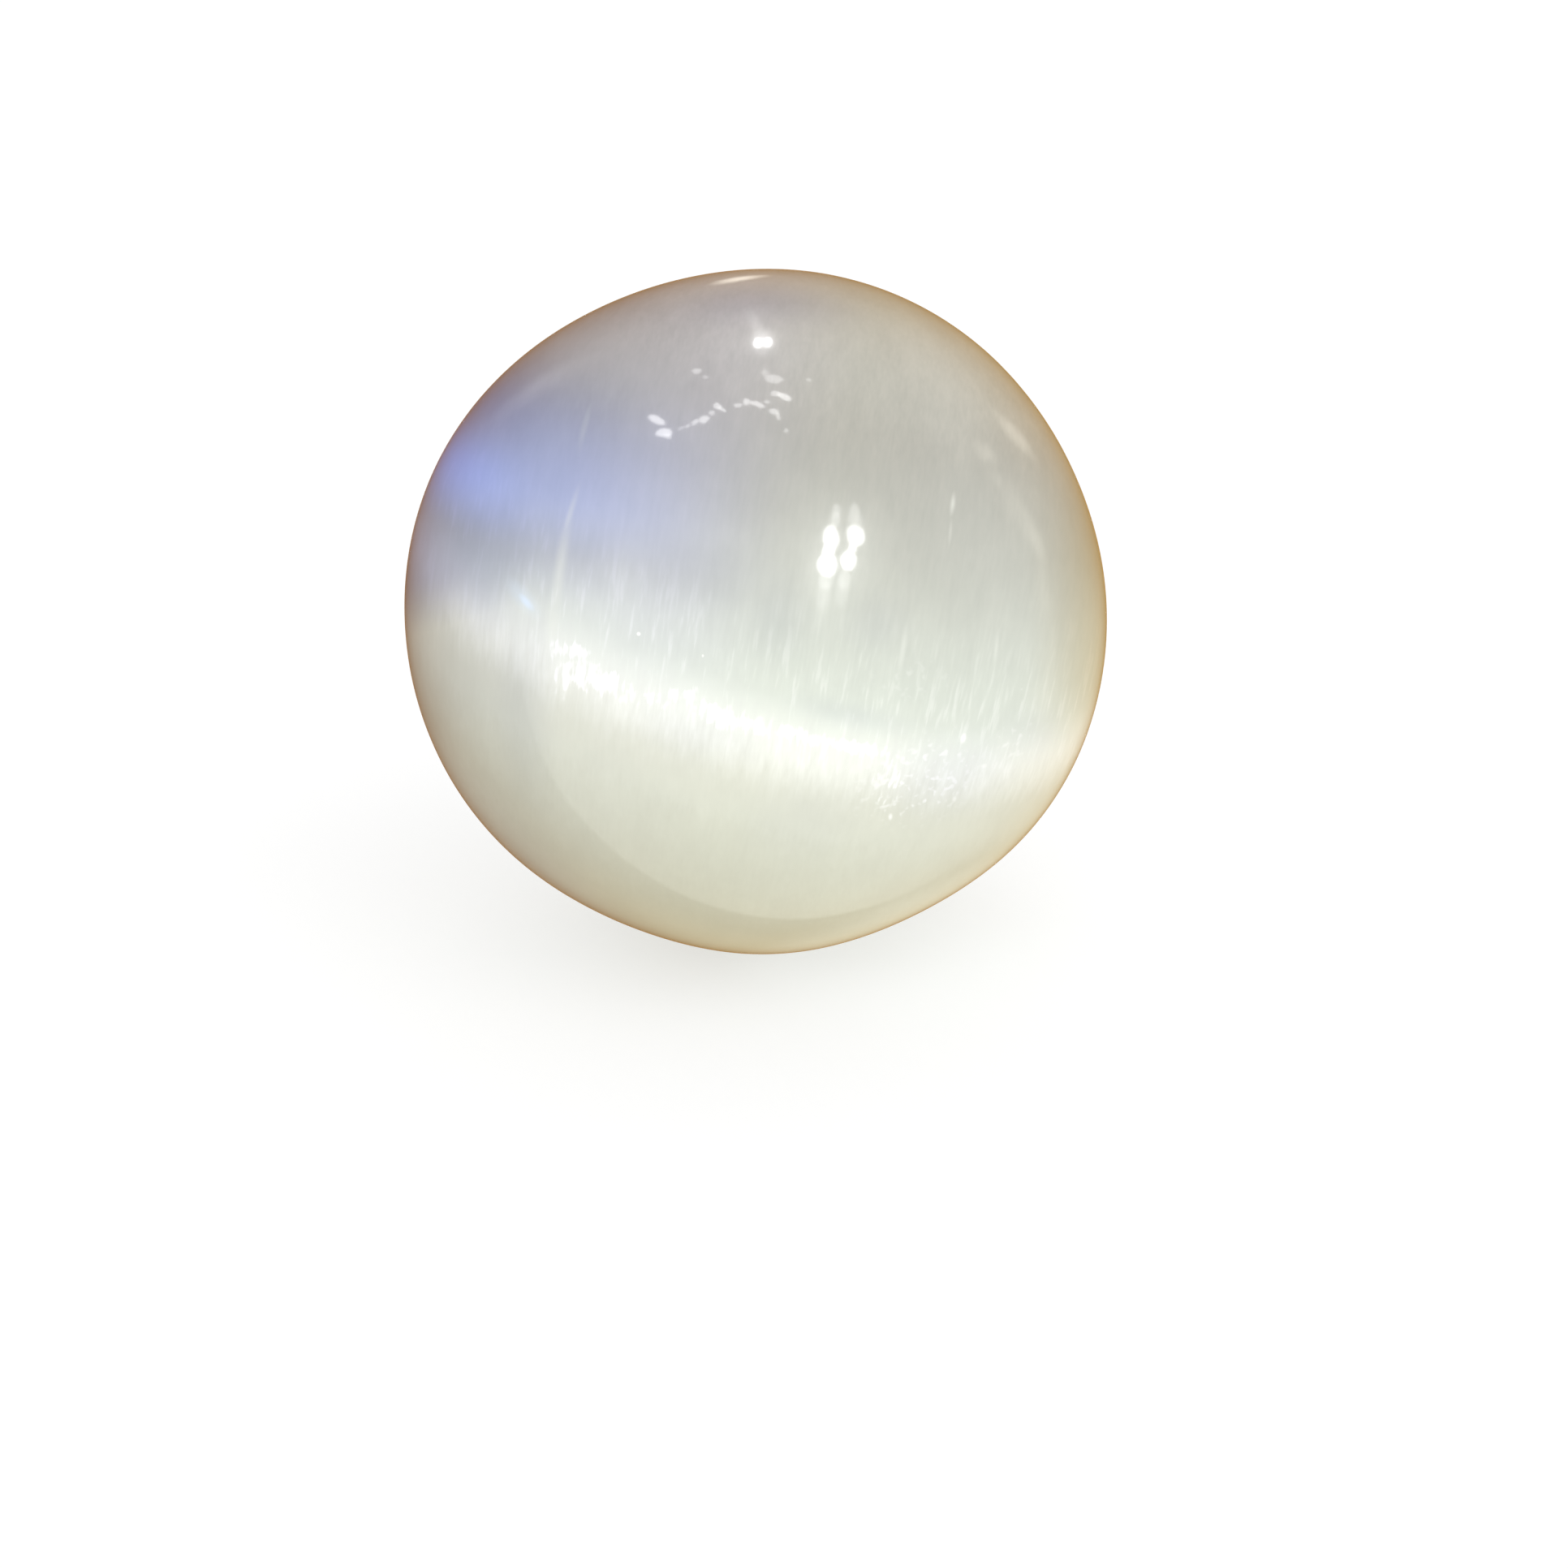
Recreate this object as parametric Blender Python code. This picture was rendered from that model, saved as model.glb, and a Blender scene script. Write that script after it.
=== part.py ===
"""A polished selenite sphere: one ball of fibrous gypsum, ground round by hand.

Metres, +Z up. The front of the ball faces -Y. The origin is under the middle of
the ball, on the surface that the ball rests on.
"""
from collections import namedtuple
from math import cos, exp, radians, sin, sqrt

import bmesh
import bpy
from mathutils import Vector

# The front outline starts from an oval, which leans back from upright
LONG_RADIUS = 0.02532
SHORT_RADIUS = 0.02488
FRONT_TO_BACK_RADIUS = 0.02490
OVAL_TURN = radians(-45.0)
FRONT_LEAN = radians(15.0)

# The ball stands still on a small polished foot
FOOT_RADIUS = 0.0034

# A soft flat is where the hand pressed the ball to the wheel for longer: clock is
# its place round the front outline, counter-clockwise from the right, toward is
# how far it sits in front of that outline, and spread is its reach on the ball
Flat = namedtuple("Flat", "clock toward depth spread")

OUTLINE_FLATS = (
    Flat(clock=radians(111), toward=0.0, depth=0.00095, spread=radians(25)),
    Flat(clock=radians(250), toward=0.0, depth=0.00074, spread=radians(19)),
    Flat(clock=radians(297), toward=0.0, depth=0.00080, spread=radians(16)),
    Flat(clock=radians(24), toward=0.0, depth=0.00012, spread=radians(14)),
)
HIDDEN_FLATS = (
    Flat(clock=radians(35), toward=radians(-55), depth=0.00070, spread=radians(24)),
    Flat(clock=radians(190), toward=radians(-50), depth=0.00055, spread=radians(20)),
    Flat(clock=radians(278), toward=radians(-34), depth=0.00070, spread=radians(18)),
)

# Mesh fineness, and how near the cut a point may lie before it moves onto it
ICOSPHERE_STEPS = 5
CUT_SNAP = 0.00012

# Colour of the stone in linear light
SELENITE_COLOUR = (0.70, 0.70, 0.62, 1.0)
SELENITE_ROUGHNESS = 0.12
SELENITE_IOR = 1.52

RIGHT = Vector((1.0, 0.0, 0.0))
UP = Vector((0.0, sin(FRONT_LEAN), cos(FRONT_LEAN)))
TOWARD = Vector((0.0, -cos(FRONT_LEAN), sin(FRONT_LEAN)))


def clear_scene():
    for item in list(bpy.data.objects):
        bpy.data.objects.remove(item, do_unlink=True)


def flat_direction(flat):
    """Unit direction from the ball's middle to the middle of a soft flat."""
    around = cos(flat.clock) * RIGHT + sin(flat.clock) * UP
    return cos(flat.toward) * around + sin(flat.toward) * TOWARD


def oval_radius(direction):
    """Radius of the plain oval ball along a unit direction."""
    long_axis = cos(OVAL_TURN) * RIGHT + sin(OVAL_TURN) * UP
    short_axis = cos(OVAL_TURN) * UP - sin(OVAL_TURN) * RIGHT
    along_long = direction.dot(long_axis) / LONG_RADIUS
    along_short = direction.dot(short_axis) / SHORT_RADIUS
    along_depth = direction.dot(TOWARD) / FRONT_TO_BACK_RADIUS
    return 1.0 / sqrt(along_long ** 2 + along_short ** 2 + along_depth ** 2)


def ground_away(direction):
    """Depth that all the soft flats take off the oval along a unit direction."""
    depth = 0.0
    for flat in OUTLINE_FLATS + HIDDEN_FLATS:
        angle = direction.angle(flat_direction(flat))
        depth += flat.depth * exp(-0.5 * (angle / flat.spread) ** 2)
    return depth


def foot_depth():
    """Height of the cap that leaves a foot of FOOT_RADIUS when it is cut off."""
    return SHORT_RADIUS - sqrt(SHORT_RADIUS ** 2 - FOOT_RADIUS ** 2)


def shape_ball(mesh):
    """Make the hand-ground ball about its own middle."""
    bmesh.ops.create_icosphere(mesh, subdivisions=ICOSPHERE_STEPS, radius=1.0)
    for vert in mesh.verts:
        direction = vert.co.normalized()
        vert.co = direction * (oval_radius(direction) - ground_away(direction))


def cut_foot(mesh):
    """Cut the small flat foot across the lowest point of the ball."""
    level = min(vert.co.z for vert in mesh.verts) + foot_depth()
    for vert in mesh.verts:
        if abs(vert.co.z - level) < CUT_SNAP:
            vert.co.z = level
    cut = bmesh.ops.bisect_plane(
        mesh,
        geom=mesh.verts[:] + mesh.edges[:] + mesh.faces[:],
        plane_co=(0.0, 0.0, level),
        plane_no=(0.0, 0.0, -1.0),
        clear_outer=True,
    )
    rim = [item for item in cut["geom_cut"] if isinstance(item, bmesh.types.BMEdge)]
    bmesh.ops.holes_fill(mesh, edges=rim)
    bmesh.ops.recalc_face_normals(mesh, faces=mesh.faces)


def stand_on_origin(mesh):
    """Move the ball so that the origin is under its middle, level with its foot."""
    xs = [vert.co.x for vert in mesh.verts]
    ys = [vert.co.y for vert in mesh.verts]
    zs = [vert.co.z for vert in mesh.verts]
    middle = Vector(((min(xs) + max(xs)) / 2, (min(ys) + max(ys)) / 2, min(zs)))
    bmesh.ops.translate(mesh, vec=-middle, verts=mesh.verts)


def selenite():
    """Milky polished gypsum."""
    material = bpy.data.materials.new("selenite")
    material.use_nodes = True
    shader = material.node_tree.nodes["Principled BSDF"]
    shader.inputs["Base Color"].default_value = SELENITE_COLOUR
    shader.inputs["Roughness"].default_value = SELENITE_ROUGHNESS
    shader.inputs["Metallic"].default_value = 0.0
    shader.inputs["IOR"].default_value = SELENITE_IOR
    material.diffuse_color = SELENITE_COLOUR
    return material


def make_sphere():
    """The whole stone, in one piece."""
    mesh = bmesh.new()
    shape_ball(mesh)
    cut_foot(mesh)
    stand_on_origin(mesh)
    data = bpy.data.meshes.new("sphere")
    mesh.to_mesh(data)
    mesh.free()
    data.shade_smooth()
    data.set_sharp_from_angle(angle=radians(30.0))
    data.materials.append(selenite())
    stone = bpy.data.objects.new("sphere", data)
    bpy.context.scene.collection.objects.link(stone)
    return stone


clear_scene()
make_sphere()
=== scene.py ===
"""Looks of a polished selenite sphere, a ball of fibrous satin spar.

Metres, +Z up. The ball stands on the origin and its front faces -Y.
"""
from collections import namedtuple
from math import cos, pi, radians, sin, sqrt, tan

import bpy
from mathutils import Euler, Matrix, Vector
from mathutils.interpolate import poly_3d_calc


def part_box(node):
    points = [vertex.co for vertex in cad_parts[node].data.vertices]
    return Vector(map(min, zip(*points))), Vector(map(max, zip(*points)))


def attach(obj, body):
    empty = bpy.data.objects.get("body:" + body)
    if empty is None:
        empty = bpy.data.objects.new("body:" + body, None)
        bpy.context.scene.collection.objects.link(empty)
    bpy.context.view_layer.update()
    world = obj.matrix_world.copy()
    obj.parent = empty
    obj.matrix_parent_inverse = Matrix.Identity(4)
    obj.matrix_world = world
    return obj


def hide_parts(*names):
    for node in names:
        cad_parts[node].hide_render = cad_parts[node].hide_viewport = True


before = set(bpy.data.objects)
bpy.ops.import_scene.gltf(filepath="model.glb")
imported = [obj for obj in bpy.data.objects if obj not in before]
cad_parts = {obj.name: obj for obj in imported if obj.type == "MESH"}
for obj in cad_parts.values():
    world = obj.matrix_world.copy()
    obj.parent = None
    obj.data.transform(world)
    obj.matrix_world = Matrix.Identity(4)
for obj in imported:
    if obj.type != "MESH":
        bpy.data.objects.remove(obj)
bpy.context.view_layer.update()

bl_info = {
    "name": "Selenite Sphere",
    "version": (1, 0, 0),
    "blender": (4, 5, 0),
    "location": "View3D > Sidebar > Selenite",
    "description": "Builds a polished satin spar ball and the stage it stands on",
    "category": "Add Mesh",
}

# The ball's middle and mean radius, from the frame
BALL_LOW, BALL_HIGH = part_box("sphere")
BALL_MIDDLE = (BALL_LOW + BALL_HIGH) / 2
BALL_RADIUS = (BALL_HIGH.x - BALL_LOW.x + BALL_HIGH.z - BALL_LOW.z) / 4

# The photograph's frame, and where the ball's outline lies in it
PHOTO_SIDE = 1932
OUTLINE_WIDTH = 866
OUTLINE_MIDDLE = (931.0, 753.5)
SENSOR_WIDTH = 36.0

# The outline's middle lies a little under the middle of the ball's box
OUTLINE_DROP = 0.00019

# The front outline's plane leans back, because it is seen from a little above
FRONT_LEAN = radians(15.0)
RIGHT = Vector((1.0, 0.0, 0.0))
UP = Vector((0.0, sin(FRONT_LEAN), cos(FRONT_LEAN)))
TOWARD = Vector((0.0, -cos(FRONT_LEAN), sin(FRONT_LEAN)))

# Soft flats from grinding: clock runs round the front outline from the right,
# toward is how far a flat sits in front of that outline
Flat = namedtuple("Flat", "clock toward depth spread")
FLATS = (
    Flat(clock=radians(111), toward=0.0, depth=0.00095, spread=radians(25)),
    Flat(clock=radians(250), toward=0.0, depth=0.00074, spread=radians(19)),
    Flat(clock=radians(297), toward=0.0, depth=0.00080, spread=radians(16)),
    Flat(clock=radians(24), toward=0.0, depth=0.00012, spread=radians(14)),
    Flat(clock=radians(35), toward=radians(-55), depth=0.00070, spread=radians(24)),
    Flat(clock=radians(190), toward=radians(-50), depth=0.00055, spread=radians(20)),
    Flat(clock=radians(278), toward=radians(-34), depth=0.00070, spread=radians(18)),
)


# A glint is the mirror image of something bright in the polish: pixel is where its
# middle shows in the photograph, width and height are its size there in pixels, lean
# is its lean to the right, glow is its brightness beside white paper
Glint = namedtuple("Glint", "pixel width height lean glow")

# A tall window in two halves, seen once sharp and drawn out faintly up and down
WINDOW = (
    Glint((1023.8, 663), 20, 30, radians(3), 14.0),
    Glint((1021.0, 680), 15, 18, radians(5), 14.0),
    Glint((1019.3, 696), 25, 29, radians(7), 14.0),
    Glint((1054.3, 660), 23, 25, radians(3), 14.0),
    Glint((1049.6, 677), 10, 20, radians(18), 14.0),
    Glint((1045.2, 691), 20, 24, radians(14), 14.0),
    Glint((1030.5, 629), 11, 16, radians(4), 3.4),
    Glint((1028.8, 641), 12, 20, radians(8), 4.2),
    Glint((1052.5, 634), 15, 28, radians(3), 3.4),
    Glint((1060.0, 642), 12, 16, 0, 1.6),
    Glint((1017.5, 716), 18, 20, radians(8), 4.0),
    Glint((1014.5, 734), 17, 34, radians(8), 2.4),
    Glint((1010.5, 760), 14, 34, radians(8), 0.9),
    Glint((1040.0, 714), 16, 24, radians(8), 3.4),
    Glint((1037.0, 732), 15, 34, radians(8), 1.8),
)
LAMPS = (
    Glint((934.4, 422.4), 12.5, 13, 0, 13.0),
    Glint((945.4, 421.7), 12.5, 13, 0, 13.0),
)
# A string of small lights hung in a wavy line
STRING = (
    Glint((809.5, 517.4), 23.3, 9.9, radians(32), 8.5),
    Glint((818, 533), 21.2, 11, radians(4), 9.1),
    Glint((823.5, 538), 8.5, 6.6, radians(40), 5.9),
    Glint((838, 528), 6.4, 5.5, 0, 3.4),
    Glint((847, 525.3), 7.4, 5.5, radians(-20), 4.4),
    Glint((856.3, 520.4), 10.6, 6.6, radians(-30), 6.0),
    Glint((867.8, 516.4), 13.8, 9.4, radians(-8), 7.8),
    Glint((877, 508.6), 7.4, 6.6, radians(-30), 5.5),
    Glint((884.4, 500.5), 10.6, 8.8, radians(45), 7.2),
    Glint((890, 505), 9.5, 5.5, radians(30), 6.5),
    Glint((909.5, 499.5), 11.7, 5.5, 0, 6.0),
    Glint((919.5, 495.3), 8.5, 8.8, 0, 7.2),
    Glint((933, 498), 20.1, 6.6, radians(22), 7.3),
    Glint((945, 495), 6.4, 5.5, 0, 4.7),
    Glint((953.6, 507), 11.7, 7.7, radians(28), 6.5),
    Glint((959, 513), 5.3, 9.9, radians(-12), 6.0),
    Glint((955.5, 484.8), 11.7, 7.7, radians(20), 5.5),
    Glint((967, 489), 18, 7.7, radians(28), 8.1),
    Glint((953.5, 467), 22.3, 11, radians(14), 4.4),
    Glint((943, 459), 8.5, 8.8, 0, 2.6),
    Glint((858.2, 457.3), 10.6, 7.7, radians(20), 4.2),
    Glint((869.3, 464.6), 7.4, 5, radians(20), 3.6),
    Glint((968.8, 530.6), 5.3, 5.5, 0, 5.7),
    Glint((996.7, 468.2), 6.4, 4.4, 0, 3.9),
)
# Soft glow round the brightest of them, and faint veils of light
HALOS = (
    Glint((1035, 680), 88, 120, radians(6), 0.8),
    Glint((1004, 702), 36, 90, radians(6), 0.9),
    Glint((1018, 745), 44, 110, radians(8), 0.45),
    Glint((940, 421), 36, 34, 0, 4.5),
    Glint((932, 402), 20, 52, radians(-22), 1.2),
    Glint((1185, 645), 130, 190, 0, 0.40),
    Glint((1165, 480), 150, 110, radians(35), 0.35),
    Glint((674, 470), 50, 80, radians(42), 0.45),
    Glint((842, 470), 46, 16, radians(-40), 0.5),
)
# Warm light that the polish catches near the outline
EDGE_LIGHTS = (
    Glint((909, 344), 50, 8, radians(-4), 1.6),
    Glint((1250, 535), 22, 52, radians(-28), 1.2),
    Glint((1213, 557), 22, 34, radians(-30), 1.1),
    Glint((1229, 591), 14, 30, radians(-15), 0.8),
    Glint((1246, 618), 30, 40, radians(-30), 0.8),
    Glint((1266, 648), 22, 54, radians(-25), 0.9),
    Glint((1279, 672), 18, 42, radians(-8), 1.0),
    Glint((1286, 735), 18, 90, radians(-2), 0.55),
    Glint((1290, 850), 26, 130, radians(4), 0.35),
)

# A mark is a spot in the stone, placed in the same way, with its share of the colour
Mark = namedtuple("Mark", "pixel width height lean share")
# The whitest parts of the band: painted highlights of its sheen
SHEEN_PATCHES = (
    Mark((703, 802), 48, 28, 0, 1.0),
    Mark((707, 830), 50, 54, 0, 0.86),
    Mark((750, 840), 84, 34, radians(24), 0.84),
    Mark((804, 862), 46, 20, radians(10), 0.62),
    Mark((842, 858), 40, 28, 0, 0.78),
    Mark((884, 882), 64, 32, radians(12), 1.0),
    Mark((936, 896), 58, 26, radians(12), 0.95),
    Mark((985, 907), 92, 20, radians(12), 1.0),
    Mark((1058, 921), 92, 18, radians(10), 0.92),
    Mark((1092, 956), 34, 62, radians(8), 0.62),
)
# Painted shade in patches, each with its share of the lilac painted shade
PAINTED_SHADE_PATCHES = (
    Mark((940, 370), 240, 56, 0, 0.34),
    Mark((600, 740), 70, 90, 0, 0.22),
    Mark((598, 652), 90, 90, 0, 0.14),
    Mark((650, 875), 84, 250, radians(3), 0.15),
    Mark((840, 706), 210, 100, radians(8), 0.22),
    Mark((730, 700), 120, 110, 0, 0.16),
    Mark((962, 760), 90, 130, 0, 0.13),
    Mark((1080, 770), 90, 80, 0, 0.10),
    Mark((1170, 955), 180, 110, radians(-12), 0.19),
    Mark((1050, 882), 170, 40, radians(12), 0.12),
    Mark((860, 905), 180, 70, radians(14), 0.11),
    Mark((990, 1010), 170, 110, 0, 0.09),
    Mark((1268, 900), 90, 80, 0, 0.12),
)
# Small white grains, painted bright as sparkles
SPARKLING_FLECKS = (
    Mark((787, 781), 5, 5, 0, 0.9),
    Mark((866, 808), 3, 4, 0, 0.6),
    Mark((1255, 848), 6, 6, 0, 0.9),
    Mark((1184, 908), 8, 15, radians(12), 0.9),
    Mark((1208, 941), 10, 9, 0, 0.8),
    Mark((1193, 958), 7, 7, 0, 0.7),
    Mark((1162, 983), 8, 9, 0, 0.9),
    Mark((1172, 981), 8, 11, 0, 0.9),
    Mark((1095, 1003), 7, 11, 0, 0.9),
)
# Long pale streaks in the stone
PALE_VEINS = (
    Mark((720, 528), 9, 64, radians(13), 0.12),
    Mark((703, 634), 9, 80, radians(16), 0.24),
    Mark((690, 705), 17, 150, radians(8), 0.34),
    Mark((682, 770), 22, 80, radians(3), 0.30),
    Mark((1112, 800), 9, 64, radians(9), 0.35),
    Mark((1174, 621), 7, 30, radians(8), 0.45),
    Mark((1171, 655), 5, 36, radians(6), 0.20),
    Mark((1225, 800), 6, 50, radians(6), 0.30),
)
# Where broken grains get a painted sparkle
SPARKLE_AREAS = (
    Mark((1136, 958), 150, 96, radians(-14), 0.75),
    Mark((1125, 838), 110, 60, 0, 0.14),
    Mark((1250, 915), 60, 60, 0, 0.4),
)
# A painted blue-white highlight, with its soft surround
PAINTED_BLUE_GLINTS = (
    Mark((649, 741), 13, 34, radians(-42), 0.8),
    Mark((645, 736), 24, 60, radians(-42), 0.3),
)

# An edge is where a glint or mark starts to fade and where it ends, in half sizes
Edge = namedtuple("Edge", "inner outer")
WINDOW_EDGE = Edge(0.78, 1.18)
LAMP_EDGE = Edge(0.75, 1.15)
EDGE_LIGHT_EDGE = Edge(0.1, 1.4)
SOFT_EDGE = Edge(0.0, 1.3)
BAND_EDGE = Edge(0.1, 1.9)
GLITTER_EDGE = Edge(0.2, 1.4)
BLUE_GLINT_EDGE = Edge(0.1, 1.3)
FLECK_EDGE = Edge(0.5, 1.3)

# An ease is a share that goes smoothly from low at start to high at end
Ease = namedtuple("Ease", "start end low high", defaults=(0.0, 1.0))

# By height above the band's ring, on a ball of radius 1
COOL_ABOVE = Ease(0.00, 0.30, 0.2, 1.0)
SILK_ABOVE = Ease(-0.13, 0.03, 0.15, 1.0)
LOOSE_FIBRES_ABOVE = Ease(-0.08, 0.02)
LOOSE_FIBRES_BELOW = Ease(0.45, 0.0)

# By the strength of a pattern
BAND_SEEN = Ease(0.44, 0.92)
BAND_NEAR = Ease(0.0, 0.5)
LOOSE_FIBRES_SEEN = Ease(0.04, 0.26)
GRAINS_SEEN = Ease(0.54, 0.74)

# A reach is such a share along a direction on the ball of radius 1: the direction's
# parts are to the right, up the front and out of the front
Reach = namedtuple("Reach", "direction start end low high", defaults=(0.0, 1.0))
# Where the left side gets its painted cool light and painted shade
COOL_LEFT = Reach((-1.0, 0.3, 0.0), -0.15, 0.35)
SHADE_LEFT = Reach((-1.0, 0.55, 0.0), 0.00, 1.30)
SHADE_ABOVE_BAND = Reach((-0.22, 1.0, 0.0), 0.08, 0.30)
SHADE_BELOW_CAP = Reach((0.35, 1.0, 0.0), 0.65, 0.30)
SHADE_FAR_LEFT = Reach((-1.0, 0.1, 0.0), 0.50, 0.66, 0.0, 0.12)
SHADE_ABOVE_FOOT = Reach((0.0, 1.0, 0.0), -0.45, -0.20)
SHADE_IN_FRONT = Reach((0.0, 0.0, 1.0), -0.70, 0.10, 0.35, 1.0)
# Where the painted tan shade and the painted light near the outline fall
TAN_RIGHT = Reach((1.0, 0.0, 0.0), 0.72, 0.95)
TAN_ABOVE_FOOT = Reach((0.0, 1.0, 0.0), -0.45, -0.15)
TAN_BELOW_CAP = Reach((0.0, 1.0, 0.0), 0.50, 0.10)
PALE_LOW_LEFT = Reach((-0.70, -0.72, 0.0), 0.84, 0.98, 0.0, 0.7)
PALE_LOW_RIGHT = Reach((0.36, -0.93, 0.0), 0.87, 0.96)
LOOSE_FIBRES_RIGHT = Reach((1.0, 0.0, 0.0), -0.70, -0.45, 0.16, 0.29)

# The painted blue flash, a reflection of bluish light, runs along a slanting line and is
# strongest at the left
ACROSS_FLASH = (0.117, 0.982, 0.151)
FLASH_ABOVE = Reach(ACROSS_FLASH, 0.18, 0.36)
FLASH_IN_FRONT = Reach((0.0, 0.0, 1.0), -0.70, 0.10, 0.2, 1.0)
WIDE_FLASH_BELOW = Reach(ACROSS_FLASH, 0.70, 0.36)
WIDE_FLASH_LEFT = Reach((-1.0, 0.0, 0.0), -0.10, 0.55, 0.0, 0.21)
NARROW_FLASH_BELOW = Reach(ACROSS_FLASH, 0.50, 0.36)
NARROW_FLASH_LEFT = Reach((-1.0, 0.0, 0.0), 0.55, 0.95, 0.0, 0.36)
FLASH_INSIDE_OUTLINE = Reach((-1.0, 0.0, 0.0), 0.95, 0.70, 0.5, 1.0)

# The room and its lamps, along directions in which one looks from the ball
ROOM_RIGHT = Reach((1.0, 0.0, 0.0), -0.4, 0.4)
ROOM_LOW = Reach((0.55, -0.83, 0.0), 0.1, 0.5)
ROOM_FRONT = Reach((0.0, 0.0, 1.0), -0.85, 0.1)
TABLE_EDGE = Reach((0.435, -0.193, 0.880), -0.295, -0.25)
TABLE_LOW_LEFT = Reach((-0.6, -0.8, 0.0), 0.0, 0.65)
KEY_LAMP = Reach((0.36, 0.25, 0.90), 0.5, 0.95)
BACK_LAMP = Reach((0.0, 0.60, -0.80), 0.5, 0.95)

# Streaks across the fibres and along them in the ball's radius, from broad soft
# curtains to single fibres, their share of change in depth, and how far each kind
# shows in what it breaks up
STREAK_COUNTS = ((13.0, 1.2), (42.0, 5.5), (105.0, 13.0))
STREAK_DEPTH = 0.35
STREAKS_IN_HEIGHT = (0.03, 0.05, 0.05)
STREAKS_IN_SILK = (0.12, 0.14, 0.13)
STREAKS_IN_BAND = (0.0, 1.3, 1.5)
STREAKS_IN_FIBRES = (0.0, 0.75, 0.85)

# Other patterns, by their scale on the ball's radius and their strength
MOTTLE_SCALE = 28.0
MOTTLE_STRENGTH = 1.6
CLOUD_SCALE = 8.0
CLOUD_STRENGTH = 0.11
GRAIN_SCALE = 44.0
RIPPLE_SCALE = 34.0

# Gloss of the stone and of the polish over it
STONE_ROUGHNESS = 0.35
POLISH_ROUGHNESS = 0.05
GYPSUM_IOR = 1.52

FLOOR_HALF_WIDTH = 2.5


class BallShape(bpy.types.PropertyGroup):
    """Sizes of the ground ball."""
    long_radius: bpy.props.FloatProperty(
        name="Long Radius", description="Half of the oval's long width",
        default=0.02532, unit="LENGTH")
    short_radius: bpy.props.FloatProperty(
        name="Short Radius", description="Half of the oval's short width",
        default=0.02488, unit="LENGTH")
    depth_radius: bpy.props.FloatProperty(
        name="Depth Radius", description="Half of the ball's depth from front to back",
        default=0.02490, unit="LENGTH")
    oval_turn: bpy.props.FloatProperty(
        name="Oval Turn", description="Turn of the oval's long width from level",
        default=radians(-45.0), subtype="ANGLE", unit="ROTATION")
    foot_radius: bpy.props.FloatProperty(
        name="Foot Radius", description="Radius of the polished flat underneath",
        default=0.0034, unit="LENGTH")
    wave_depth: bpy.props.FloatProperty(
        name="Wave Depth", description="Depth of the slow waves left by hand polishing",
        default=0.00004, unit="LENGTH")
    wave_length: bpy.props.FloatProperty(
        name="Wave Length", description="Distance between those waves",
        default=0.0075, unit="LENGTH")
    fineness: bpy.props.IntProperty(
        name="Fineness", description="Subdivision of the ball's mesh",
        default=7, min=3, max=7)
    seed: bpy.props.IntProperty(
        name="Seed", description="Picks the pattern of the polishing waves",
        default=4)


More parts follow.
